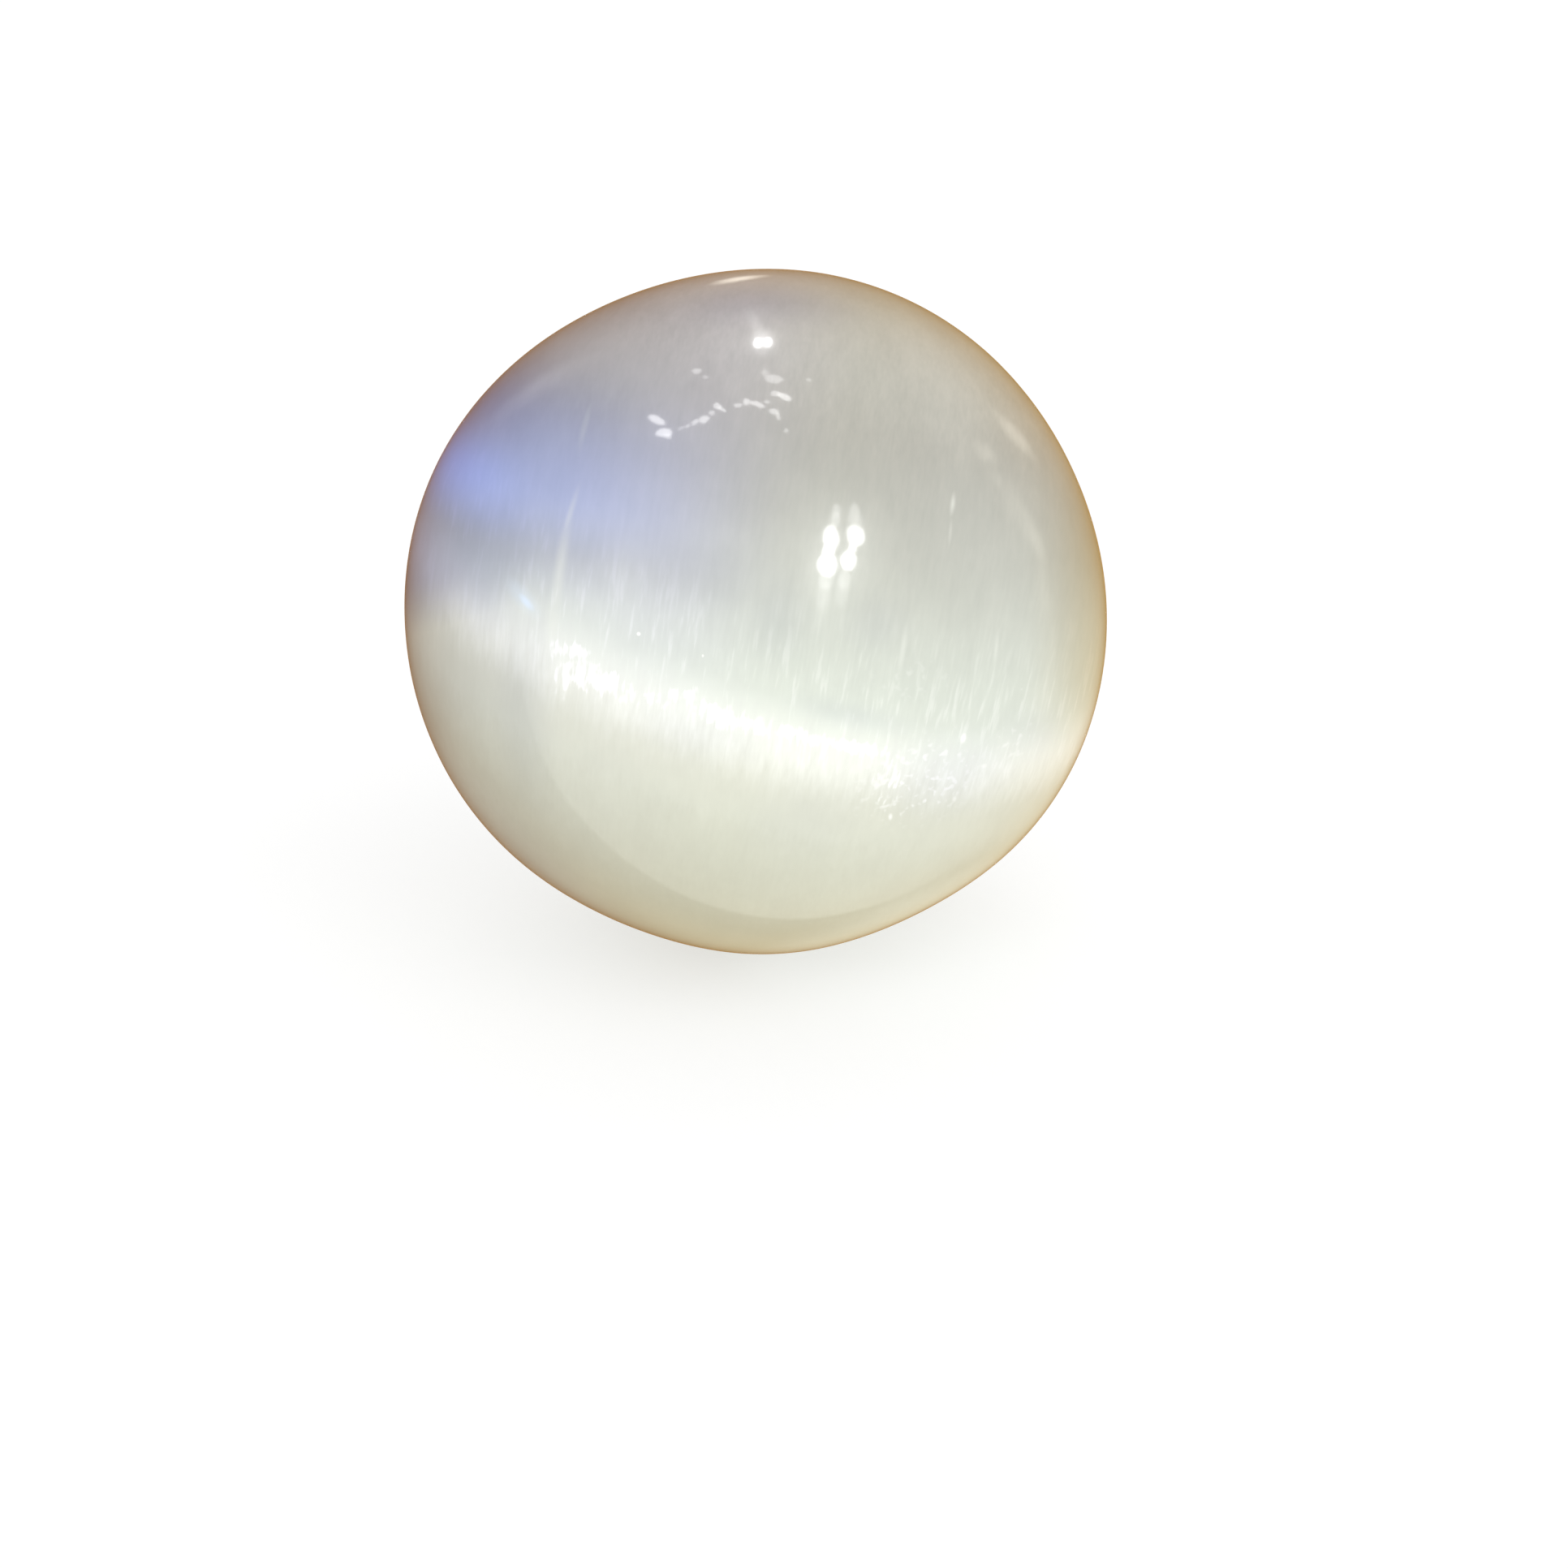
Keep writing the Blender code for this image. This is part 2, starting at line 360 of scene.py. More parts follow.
class StoneColoursAndPaintedLight(bpy.types.PropertyGroup):
    """Colours and lie of the satin spar, with light and shade painted into the colours."""
    # From crown to foot these colours paint light as well as the stone's own tones: painted
    # shade on the cap and crown, a painted sheen in the band, and a painted glow in the milk
    # above it and in the hem and cream below it
    crown_colour: bpy.props.FloatVectorProperty(
        name="Crown", description="Greyish stone at the very top",
        default=(0.467, 0.457, 0.395), size=3, subtype="COLOR")
    cap_colour: bpy.props.FloatVectorProperty(
        name="Cap", description="The darkest grey, a little below the top",
        default=(0.425, 0.422, 0.372), size=3, subtype="COLOR")
    shoulder_colour: bpy.props.FloatVectorProperty(
        name="Shoulder", description="Grey stone well above the white band",
        default=(0.543, 0.565, 0.500), size=3, subtype="COLOR")
    milk_colour: bpy.props.FloatVectorProperty(
        name="Milk", description="Milky stone just above the white band",
        default=(0.685, 0.727, 0.645), size=3, subtype="COLOR")
    # Painted sheen of the band; the same white also colours the pale veins in the stone
    band_sheen_and_vein_colour: bpy.props.FloatVectorProperty(
        name="Band", description="The white band of silky sheen",
        default=(0.84, 0.86, 0.785), size=3, subtype="COLOR")
    hem_colour: bpy.props.FloatVectorProperty(
        name="Hem", description="Stone at the lower edge of the band",
        default=(0.685, 0.697, 0.595), size=3, subtype="COLOR")
    cream_colour: bpy.props.FloatVectorProperty(
        name="Cream", description="Creamy stone below the band",
        default=(0.610, 0.622, 0.510), size=3, subtype="COLOR")
    belly_colour: bpy.props.FloatVectorProperty(
        name="Belly", description="Warm pale stone of the lower part",
        default=(0.490, 0.483, 0.363), size=3, subtype="COLOR")
    foot_colour: bpy.props.FloatVectorProperty(
        name="Foot", description="Warmer stone near the foot",
        default=(0.46, 0.45, 0.34), size=3, subtype="COLOR")
    # Painted shade: the left side lies in less light
    painted_shade_tint: bpy.props.FloatVectorProperty(
        name="Shade Tint", description="Lilac shade of the left side above the band",
        default=(0.43, 0.455, 0.66), size=3, subtype="COLOR")
    # Painted cool light over the left half
    painted_cool_light_tint: bpy.props.FloatVectorProperty(
        name="Cool Tint", description="Cooler white of the left half above the band",
        default=(1.01, 0.99, 1.14), size=3, subtype="COLOR", soft_max=2.0)
    # Painted shade: a darker tan near the right outline
    painted_tan_shade_tint: bpy.props.FloatVectorProperty(
        name="Limb Tint", description="Tan shade near the right outline",
        default=(0.83, 0.77, 0.67), size=3, subtype="COLOR")
    # Painted light near the lower outline
    painted_low_light_tint: bpy.props.FloatVectorProperty(
        name="Low Tint", description="Paler stone near the lower outline",
        default=(1.26, 1.33, 1.48), size=3, subtype="COLOR", soft_max=2.0)
    # Painted reflection of a bluish light
    painted_flash_colour: bpy.props.FloatVectorProperty(
        name="Flash", description="Blue flash that crosses the left side",
        default=(0.07, 0.24, 1.0), size=3, subtype="COLOR")
    # Painted highlight: a blue-white glint laid into the stone's colour
    painted_blue_glint: bpy.props.FloatVectorProperty(
        name="Blue Glint", description="Blue-white glint at the band's left end",
        default=(0.72, 0.84, 1.0), size=3, subtype="COLOR")
    # Painted sheen and sparkle: the white laid for the band's patches, its bright fibres, the
    # sparkling grains and the flecks
    sheen_and_sparkle_white: bpy.props.FloatVectorProperty(
        name="Fleck", description="The whitest fibres and flecks",
        default=(1.0, 1.0, 0.97), size=3, subtype="COLOR")
    band_lean: bpy.props.FloatProperty(
        name="Band Lean", description="Fall of the band to the right",
        default=radians(17.4), subtype="ANGLE", unit="ROTATION")
    band_tilt: bpy.props.FloatProperty(
        name="Band Tilt", description="Tilt of the band's ring towards the front",
        default=radians(19.3), subtype="ANGLE", unit="ROTATION")
    fibre_lean: bpy.props.FloatProperty(
        name="Fibre Lean", description="Lean of the fibres to the right",
        default=radians(9.0), subtype="ANGLE", unit="ROTATION")
    fibre_fan: bpy.props.FloatProperty(
        name="Fibre Fan", description="How fast the fibres spread apart upwards",
        default=0.07)


class StudioSetting(bpy.types.PropertyGroup):
    """Camera, floor, lamps and the room that the polish mirrors."""
    lens: bpy.props.FloatProperty(
        name="Lens", description="Focal length in millimetres",
        default=85.0, subtype="DISTANCE_CAMERA")
    floor_colour: bpy.props.FloatVectorProperty(
        name="Floor", description="Colour of the plain pale floor",
        default=(0.45, 0.45, 0.45), size=3, subtype="COLOR")
    floor_glow: bpy.props.FloatProperty(
        name="Floor Glow", description="Light that the floor gives off by itself",
        default=0.57)
    dome_strength: bpy.props.FloatProperty(
        name="Dome", description="Strength of the even light from all round",
        default=0.69)
    key_strength: bpy.props.FloatProperty(
        name="Key", description="Strength of the wide soft lamp in front",
        default=1.08)
    back_strength: bpy.props.FloatProperty(
        name="Back", description="Strength of the wide soft lamp behind",
        default=0.65)
    room_front: bpy.props.FloatVectorProperty(
        name="Room In Front", description="What the polish mirrors from in front",
        default=(0.60, 0.58, 0.56), size=3, subtype="COLOR")
    room_table: bpy.props.FloatVectorProperty(
        name="Table", description="What a bright table adds low in front",
        default=(0.66, 0.68, 0.62), size=3, subtype="COLOR")
    room_left: bpy.props.FloatVectorProperty(
        name="Room Behind Left", description="What it mirrors from behind, to the left",
        default=(0.26, 0.11, 0.03), size=3, subtype="COLOR")
    room_right: bpy.props.FloatVectorProperty(
        name="Room Behind Right", description="What it mirrors from behind, to the right",
        default=(0.49, 0.27, 0.04), size=3, subtype="COLOR")
    room_low: bpy.props.FloatVectorProperty(
        name="Room Behind Low", description="What it mirrors from low behind, to the right",
        default=(0.78, 0.62, 0.36), size=3, subtype="COLOR")
    ripple: bpy.props.FloatProperty(
        name="Ripple", description="How far the hand polish bends what it mirrors",
        default=0.018)
    warm_tint: bpy.props.FloatVectorProperty(
        name="Warm Tint", description="Tint of the lights that show near the outline",
        default=(1.0, 0.95, 0.82), size=3, subtype="COLOR")


class NodeBench:
    """A node tree with short calls for the nodes that a pattern needs."""

    def __init__(self, tree):
        self.tree = tree

    def node(self, kind, **settings):
        made = self.tree.nodes.new(kind)
        for name, value in settings.items():
            setattr(made, name, value)
        return made

    def feed(self, socket, value):
        if isinstance(value, bpy.types.NodeSocket):
            self.tree.links.new(value, socket)
        else:
            socket.default_value = value

    def feed_all(self, sockets, values):
        for socket, value in zip(sockets, values):
            self.feed(socket, value)

    def math(self, operation, *values):
        made = self.node("ShaderNodeMath", operation=operation)
        self.feed_all(made.inputs, values)
        return made.outputs[0]

    def vector(self, operation, *values):
        made = self.node("ShaderNodeVectorMath", operation=operation)
        self.feed_all(made.inputs, values)
        is_number = operation in {"DOT_PRODUCT", "LENGTH"}
        return made.outputs["Value" if is_number else "Vector"]

    def scaled(self, vector, scale):
        made = self.node("ShaderNodeVectorMath", operation="SCALE")
        self.feed(made.inputs[0], vector)
        self.feed(made.inputs["Scale"], scale)
        return made.outputs["Vector"]

    def product(self, first, *others):
        for other in others:
            first = self.math("MULTIPLY", first, other)
        return first

    def eased(self, value, start, end, low=0.0, high=1.0):
        """low before start, high past end, and a smooth step between them."""
        made = self.node("ShaderNodeMapRange", interpolation_type="SMOOTHSTEP")
        self.feed_all(made.inputs, (value, start, end, low, high))
        return made.outputs[0]

    def mixed(self, share, first, second, blend="MIX"):
        made = self.node("ShaderNodeMix", data_type="RGBA", blend_type=blend)
        self.feed(made.inputs[0], share)
        self.feed(made.inputs[6], first)
        self.feed(made.inputs[7], second)
        return made.outputs[2]

    def background(self, colour):
        made = self.node("ShaderNodeBackground")
        self.feed(made.inputs["Color"], colour)
        return made.outputs[0]

    def shader_mix(self, share, first, second):
        made = self.node("ShaderNodeMixShader")
        self.feed_all(made.inputs, (share, first, second))
        return made.outputs[0]

    def noise(self, vector, scale=1.0, detail=2.0, roughness=0.5):
        made = self.node("ShaderNodeTexNoise")
        self.feed(made.inputs["Vector"], vector)
        made.inputs["Scale"].default_value = scale
        made.inputs["Detail"].default_value = detail
        made.inputs["Roughness"].default_value = roughness
        return made.outputs[0]

    def noise_colour(self, vector, scale):
        made = self.node("ShaderNodeTexNoise")
        self.feed(made.inputs["Vector"], vector)
        made.inputs["Scale"].default_value = scale
        return made.outputs["Color"]

    def spot(self, vector, middle, axes, peak, edge):
        """peak about middle and 0 past its edge; axes are its half sizes as vectors."""
        mapping = self.node("ShaderNodeMapping", vector_type="TEXTURE")
        self.feed(mapping.inputs["Vector"], vector)
        turn = Matrix([axis.normalized() for axis in axes]).transposed()
        mapping.inputs["Location"].default_value = middle
        mapping.inputs["Rotation"].default_value = turn.to_euler()
        mapping.inputs["Scale"].default_value = [axis.length for axis in axes]
        off_middle = self.vector("LENGTH", mapping.outputs[0])
        return self.eased(off_middle, edge.inner, edge.outer, peak, 0.0)


def rgba(colour):
    return (colour[0], colour[1], colour[2], 1.0)


def new_object(name, data):
    made = bpy.data.objects.new(name, data)
    bpy.context.scene.collection.objects.link(made)
    return made


def new_material(name, settings):
    """A material, and its shader with the given inputs set."""
    material = bpy.data.materials.new(name)
    material.use_nodes = True
    shader = material.node_tree.nodes["Principled BSDF"]
    for socket, value in settings.items():
        shader.inputs[socket].default_value = value
    return material, shader


def flat_direction(flat):
    """Unit direction from the ball's middle to the middle of a soft flat."""
    around = cos(flat.clock) * RIGHT + sin(flat.clock) * UP
    return cos(flat.toward) * around + sin(flat.toward) * TOWARD


def leaning_axis(lean, tilt):
    """Axis in the front's own directions that leans right and tilts to the front."""
    return Vector((sin(lean) * cos(tilt), cos(lean) * cos(tilt), sin(tilt)))


def front_direction(right, up, toward):
    """World direction from its parts along the front's own directions."""
    return (RIGHT * right + UP * up + TOWARD * toward).normalized()


def camera_distance(lens):
    """Distance at which the ball's outline is as wide as in the photograph."""
    half_width = OUTLINE_WIDTH / 2 / PHOTO_SIDE * SENSOR_WIDTH
    radius = (BALL_HIGH.x - BALL_LOW.x) / 2
    return radius * sqrt(1 + (lens / half_width) ** 2)


def sight_line(pixel, lens):
    """Where the camera stands, and its direction of sight through a pixel."""
    aside = (pixel[0] - OUTLINE_MIDDLE[0]) / PHOTO_SIDE * SENSOR_WIDTH
    above = (OUTLINE_MIDDLE[1] - pixel[1]) / PHOTO_SIDE * SENSOR_WIDTH
    start = BALL_MIDDLE - UP * OUTLINE_DROP + TOWARD * camera_distance(lens)
    return start, (RIGHT * aside + UP * above - TOWARD * lens).normalized()


def on_ball(pixel, lens):
    """Place on a unit ball, in the front's own directions, that a pixel shows."""
    start, sight = sight_line(pixel, lens)
    start = (start - BALL_MIDDLE) / BALL_RADIUS
    along = start.dot(sight)
    place = start - sight * (along + sqrt(along ** 2 - start.length_squared + 1))
    return Vector((place.dot(RIGHT), place.dot(UP), place.dot(TOWARD)))


def spot_place(locate, spot):
    """Middle and half-size axes of a spot, from a function that places its pixels."""
    across = Vector((cos(spot.lean), sin(spot.lean))) * spot.width / 2
    along = Vector((sin(spot.lean), -cos(spot.lean))) * spot.height / 2
    middle = Vector(spot.pixel)
    side = (locate(middle + across) - locate(middle - across)) / 2
    rise = (locate(middle + along) - locate(middle - along)) / 2
    if spot.height > spot.width:
        side -= rise * side.dot(rise) / rise.length_squared
    else:
        rise -= side * rise.dot(side) / side.length_squared
    depth = side.cross(rise).normalized() * max(side.length, rise.length)
    return locate(middle), (side, rise, depth)


# The ball's shape

def add_inputs(tree, shape):
    """Named inputs of the ball's tree with their values, in one table."""
    long_axis = cos(shape.oval_turn) * RIGHT + sin(shape.oval_turn) * UP
    short_axis = cos(shape.oval_turn) * UP - sin(shape.oval_turn) * RIGHT
    foot_depth = shape.short_radius - sqrt(shape.short_radius ** 2 - shape.foot_radius ** 2)
    table = (
        ("Long Radius", "NodeSocketFloat", shape.long_radius),
        ("Short Radius", "NodeSocketFloat", shape.short_radius),
        ("Depth Radius", "NodeSocketFloat", shape.depth_radius),
        ("Long Axis", "NodeSocketVector", long_axis),
        ("Short Axis", "NodeSocketVector", short_axis),
        ("Toward Axis", "NodeSocketVector", TOWARD),
        ("Foot Depth", "NodeSocketFloat", foot_depth),
        ("Wave Depth", "NodeSocketFloat", shape.wave_depth),
        ("Wave Length", "NodeSocketFloat", shape.wave_length),
        ("Fineness", "NodeSocketInt", shape.fineness),
        ("Seed", "NodeSocketFloat", float(shape.seed)),
    )
    values = {}
    for name, kind, value in table:
        socket = tree.interface.new_socket(name=name, in_out="INPUT", socket_type=kind)
        values[socket.identifier] = value
    tree.interface.new_socket(
        name="Geometry", in_out="OUTPUT", socket_type="NodeSocketGeometry")
    return values


def oval_radius(bench, direction, given):
    """Radius of the plain oval ball along a direction."""
    parts = bench.node("ShaderNodeCombineXYZ")
    sides = (("Long Axis", "Long Radius"), ("Short Axis", "Short Radius"),
             ("Toward Axis", "Depth Radius"))
    for socket, (axis, radius) in zip(parts.inputs, sides):
        along = bench.vector("DOT_PRODUCT", direction, given[axis])
        bench.feed(socket, bench.math("DIVIDE", along, given[radius]))
    return bench.math("DIVIDE", 1.0, bench.vector("LENGTH", parts.outputs[0]))


def flat_depth(bench, direction, flat):
    """Depth that one soft flat takes off along a direction."""
    facing = bench.vector("DOT_PRODUCT", direction, flat_direction(flat))
    angle = bench.math("ARCCOSINE", bench.math("MINIMUM", facing, 1.0))
    reach = bench.math("DIVIDE", angle, flat.spread)
    squared = bench.math("POWER", reach, 2.0)
    fall = bench.math("EXPONENT", bench.math("MULTIPLY", squared, -0.5))
    return bench.math("MULTIPLY", fall, flat.depth)


def polish_waves(bench, position, given):
    """Slow shallow waves left by polishing by hand."""
    noise = bench.node("ShaderNodeTexNoise", noise_dimensions="4D")
    bench.feed(noise.inputs["Vector"], position)
    bench.feed(noise.inputs["W"], given["Seed"])
    bench.feed(noise.inputs["Scale"], bench.math("DIVIDE", 1.0, given["Wave Length"]))
    noise.inputs["Detail"].default_value = 1.0
    centred = bench.math("SUBTRACT", noise.outputs[0], 0.5)
    return bench.math("MULTIPLY", centred, given["Wave Depth"])


def moved(bench, geometry, position):
    made = bench.node("GeometryNodeSetPosition")
    bench.feed(made.inputs["Geometry"], geometry)
    bench.feed(made.inputs["Position"], position)
    return made.outputs[0]


def box_corners(bench, geometry):
    made = bench.node("GeometryNodeBoundBox")
    bench.feed(made.inputs[0], geometry)
    return made.outputs["Min"], made.outputs["Max"]


def grind_ball(bench, given):
    """The ball about its own middle, ground oval with soft flats."""
    ico = bench.node("GeometryNodeMeshIcoSphere")
    ico.inputs["Radius"].default_value = 1.0
    bench.feed(ico.inputs["Subdivisions"], given["Fineness"])
    position = bench.node("GeometryNodeInputPosition").outputs[0]
    direction = bench.vector("NORMALIZE", position)
    radius = oval_radius(bench, direction, given)
    for flat in FLATS:
        radius = bench.math("SUBTRACT", radius, flat_depth(bench, direction, flat))
    at_surface = bench.scaled(direction, radius)
    radius = bench.math("ADD", radius, polish_waves(bench, at_surface, given))
    return moved(bench, ico.outputs["Mesh"], bench.scaled(direction, radius))


def flatten_foot(bench, geometry, given):
    """Bring what is under the foot's level up to it, and stand the ball on the origin."""
    low, high = box_corners(bench, geometry)
    low_parts = bench.node("ShaderNodeSeparateXYZ")
    bench.feed(low_parts.inputs[0], low)
    level = bench.math("ADD", low_parts.outputs["Z"], given["Foot Depth"])
    position = bench.node("GeometryNodeInputPosition").outputs[0]
    floor_point = bench.node("ShaderNodeCombineXYZ")
    bench.feed_all(floor_point.inputs, (-1.0, -1.0, level))
    lifted = bench.vector("MAXIMUM", position, floor_point.outputs[0])
    flattened = moved(bench, geometry, lifted)
    middle = bench.node("ShaderNodeSeparateXYZ")
    bench.feed(middle.inputs[0], bench.scaled(bench.vector("ADD", low, high), 0.5))
    shift = bench.node("ShaderNodeCombineXYZ")
    bench.feed_all(shift.inputs, (middle.outputs["X"], middle.outputs["Y"], level))
    stand = bench.node("GeometryNodeTransform")
    bench.feed(stand.inputs["Geometry"], flattened)
    bench.feed(stand.inputs["Translation"], bench.scaled(shift.outputs[0], -1.0))
    return stand.outputs[0]


def ball_tree(shape, material):
    """The tree that makes the whole ball, and the values of its named inputs."""
    tree = bpy.data.node_groups.new("HandGroundBall", "GeometryNodeTree")
    values = add_inputs(tree, shape)
    bench = NodeBench(tree)
    given = bench.node("NodeGroupInput").outputs
    geometry = flatten_foot(bench, grind_ball(bench, given), given)
    smooth = bench.node("GeometryNodeSetShadeSmooth")
    bench.feed(smooth.inputs["Geometry"], geometry)
    real = bench.node("GeometryNodeRealizeInstances")
    bench.feed(real.inputs[0], smooth.outputs[0])
    dressed = bench.node("GeometryNodeSetMaterial")
    bench.feed(dressed.inputs["Geometry"], real.outputs[0])
    dressed.inputs["Material"].default_value = material
    bench.feed(bench.node("NodeGroupOutput").inputs[0], dressed.outputs[0])
    return tree, values


def mesh_from_tree(name, tree, values):
    """A plain mesh object made by a geometry tree."""
    made = new_object(name, bpy.data.meshes.new(name))
    modifier = made.modifiers.new("Shape", "NODES")
    modifier.node_group = tree
    for identifier, value in values.items():
        modifier[identifier] = value
    view = bpy.context.evaluated_depsgraph_get()
    result = bpy.data.meshes.new_from_object(made.evaluated_get(view))
    made.modifiers.remove(modifier)
    made.data = result
    return made


# The stone's finish, with painted light and shade in its colour

def front_coordinates(bench):
    """Places on a unit ball: x to the right, y up the front, z out of the front."""
    turn = Euler((-(pi / 2 - FRONT_LEAN), 0.0, 0.0))
    mapping = bench.node("ShaderNodeMapping")
    bench.feed(mapping.inputs["Vector"], bench.node("ShaderNodeTexCoord").outputs["Object"])
    mapping.inputs["Scale"].default_value = (1 / BALL_RADIUS,) * 3
    mapping.inputs["Rotation"].default_value = turn
    mapping.inputs["Location"].default_value = -(turn.to_matrix() @ BALL_MIDDLE) / BALL_RADIUS
    return mapping.outputs[0]


def fibre_coordinates(bench, place, finish):
    """Across, depth and length of the fibres, which lean right and fan out upwards."""
    parts = bench.node("ShaderNodeSeparateXYZ")
    bench.feed(parts.inputs[0], place)
    right, up, toward = parts.outputs
    leaning = bench.math("MULTIPLY_ADD", up, -tan(finish.fibre_lean), right)
    spread = bench.math("MULTIPLY_ADD", up, finish.fibre_fan, 1.0)
    made = bench.node("ShaderNodeCombineXYZ")
    depth = bench.math("MULTIPLY", toward, STREAK_DEPTH)
    bench.feed_all(made.inputs, (bench.math("DIVIDE", leaning, spread), depth, up))
    return made.outputs[0]


def streaks(bench, along_fibre, across_count, along_count):
    """Noise drawn out along the fibres, about 0 in the middle."""
    stretched = bench.vector("MULTIPLY", along_fibre, (across_count, across_count, along_count))
    return bench.math("SUBTRACT", bench.noise(stretched), 0.5)


def height_ramp_with_painted_light(bench, height, finish):
    """Colour of the stone by its height above the band's ring, from foot to crown, with painted
    light in it: a painted sheen in the band, a painted glow about it and painted shade over the
    cap.
    """
    ramp = bench.node("ShaderNodeValToRGB")
    ramp.color_ramp.interpolation = "CARDINAL"
    stops = (
        (-0.95, finish.foot_colour),
        (-0.60, finish.belly_colour),
        (-0.27, finish.cream_colour),
        (-0.12, finish.hem_colour),
        (0.00, finish.band_sheen_and_vein_colour),
        (0.13, finish.milk_colour),
        (0.40, finish.shoulder_colour),
        (0.72, finish.cap_colour),
        (0.92, finish.crown_colour),
    )
    elements = ramp.color_ramp.elements
    while len(elements) < len(stops):
        elements.new(1.0)
    for element, (level, colour) in zip(elements, stops):
        element.position = (level + 1) / 2
        element.color = rgba(colour)
    bench.feed(ramp.inputs[0], bench.math("MULTIPLY_ADD", height, 0.5, 0.5))
    return ramp.outputs[0]


def fibre_patterns(bench, along_fibre):
    """Streaks of three widths, from broad soft curtains to single fibres."""
    return tuple(streaks(bench, along_fibre, across_count, along_count)
                 for across_count, along_count in STREAK_COUNTS)


def weighed(bench, start, patterns, weights):
    """A value with each streak pattern added in its own strength."""
    for pattern, weight in zip(patterns, weights):
        start = bench.math("MULTIPLY_ADD", pattern, weight, start)
    return start


def share_along(bench, place, *reaches):
    """Share that reaches give a place on the ball, multiplied together."""
    shares = []
    for direction, *ease in reaches:
        along = bench.vector("DOT_PRODUCT", place, direction)
        shares.append(bench.eased(along, *ease))
    return bench.product(*shares)


def painted_left_light_and_shade(bench, place, height, colour, finish):
    """Painted cool light at the left above the band, and a painted lilac shade over it higher
    up.
    """
    cool = bench.product(share_along(bench, place, COOL_LEFT), bench.eased(height, *COOL_ABOVE))
    colour = bench.mixed(cool, colour, rgba(finish.painted_cool_light_tint), "MULTIPLY")
    upper = share_along(bench, place, SHADE_LEFT, SHADE_ABOVE_BAND, SHADE_BELOW_CAP)
    far_left = share_along(bench, place, SHADE_FAR_LEFT, SHADE_ABOVE_FOOT)
    share = bench.product(bench.math("MAXIMUM", upper, far_left),
                          share_along(bench, place, SHADE_IN_FRONT))
    return bench.mixed(share, colour, rgba(finish.painted_shade_tint), "MULTIPLY")


def painted_outline_shade_and_light(bench, place, colour, finish):
    """A painted tan shade near the right outline, and painted light near the lower one."""
    right = share_along(bench, place, TAN_RIGHT, TAN_ABOVE_FOOT, TAN_BELOW_CAP)
    colour = bench.mixed(right, colour, rgba(finish.painted_tan_shade_tint), "MULTIPLY")
    low = bench.math("MAXIMUM", share_along(bench, place, PALE_LOW_LEFT),
                     share_along(bench, place, PALE_LOW_RIGHT))
    return bench.mixed(low, colour, rgba(finish.painted_low_light_tint), "MULTIPLY")


def painted_shade_patches(bench, place, colour, finish, lens):
    """Painted shade in patches over the stone."""
    share = marks_share(bench, place, PAINTED_SHADE_PATCHES, lens, SOFT_EDGE)
    return bench.mixed(share, colour, rgba(finish.painted_shade_tint), "MULTIPLY")


def painted_blue_flash(bench, place, colour, finish):
    """Painted blue flash, a reflection of bluish light, along a slanting line, narrow and
    strongest at the left outline.
    """
    wide = share_along(bench, place, WIDE_FLASH_BELOW, WIDE_FLASH_LEFT, FLASH_INSIDE_OUTLINE)
    narrow = share_along(bench, place, NARROW_FLASH_BELOW, NARROW_FLASH_LEFT)
    strength = bench.product(bench.math("ADD", wide, narrow),
                             share_along(bench, place, FLASH_ABOVE, FLASH_IN_FRONT))
    return bench.vector("ADD", colour, bench.scaled(tuple(finish.painted_flash_colour), strength))


def marks_share(bench, place, marks, lens, edge):
    """Share of a colour that marks lay over the stone."""
    share = 0.0
    for mark in marks:
        middle, axes = spot_place(lambda pixel: on_ball(pixel, lens), mark)
        one = bench.spot(place, middle, axes, mark.share, edge)
        share = bench.math("MAXIMUM", share, one)
    return share


def painted_band_sheen(bench, place, patterns, lens):
    """Share of painted sheen in broken white patches along the band, which end fibre by fibre.
    """
    near = marks_share(bench, place, SHEEN_PATCHES, lens, BAND_EDGE)
    mottle = bench.math("SUBTRACT", bench.noise(place, scale=MOTTLE_SCALE, detail=1.5), 0.5)
    pushed = weighed(bench, near, patterns, STREAKS_IN_BAND)
    pushed = bench.math("MULTIPLY_ADD", mottle, MOTTLE_STRENGTH, pushed)
    return bench.product(bench.eased(pushed, *BAND_SEEN), bench.eased(near, *BAND_NEAR))


def fibres_with_painted_sheen(bench, place, height, patterns):
    """Share of bright single fibres, thick in the band and sparse above it: real fibres, with
    their sheen painted.
    """
    near = bench.product(bench.eased(height, *LOOSE_FIBRES_ABOVE),
                         bench.eased(height, *LOOSE_FIBRES_BELOW),
                         share_along(bench, place, LOOSE_FIBRES_RIGHT))
    pushed = weighed(bench, 0.0, patterns, STREAKS_IN_FIBRES)
    return bench.product(bench.eased(pushed, *LOOSE_FIBRES_SEEN), near)


def painted_sparkle(bench, place, lens):
    """Share of painted sparkle on small broken grains at the band's right end."""
    area = marks_share(bench, place, SPARKLE_AREAS, lens, GLITTER_EDGE)
    grains = bench.noise(place, scale=GRAIN_SCALE, detail=1.0)
    return bench.product(bench.eased(grains, *GRAINS_SEEN), area)


def silky(bench, place, height, patterns, colour):
    """The colour with silky streaks, weak below the band, and faint clouds."""
    silk = bench.product(weighed(bench, 0.0, patterns, STREAKS_IN_SILK),
                         bench.eased(height, *SILK_ABOVE))
    clouds = bench.noise(place, scale=CLOUD_SCALE, detail=3.0, roughness=0.62)
    clouds = bench.math("SUBTRACT", clouds, 0.5)
    strength = weighed(bench, 1.0, (silk, clouds), (1.0, CLOUD_STRENGTH))
    return bench.scaled(colour, strength)


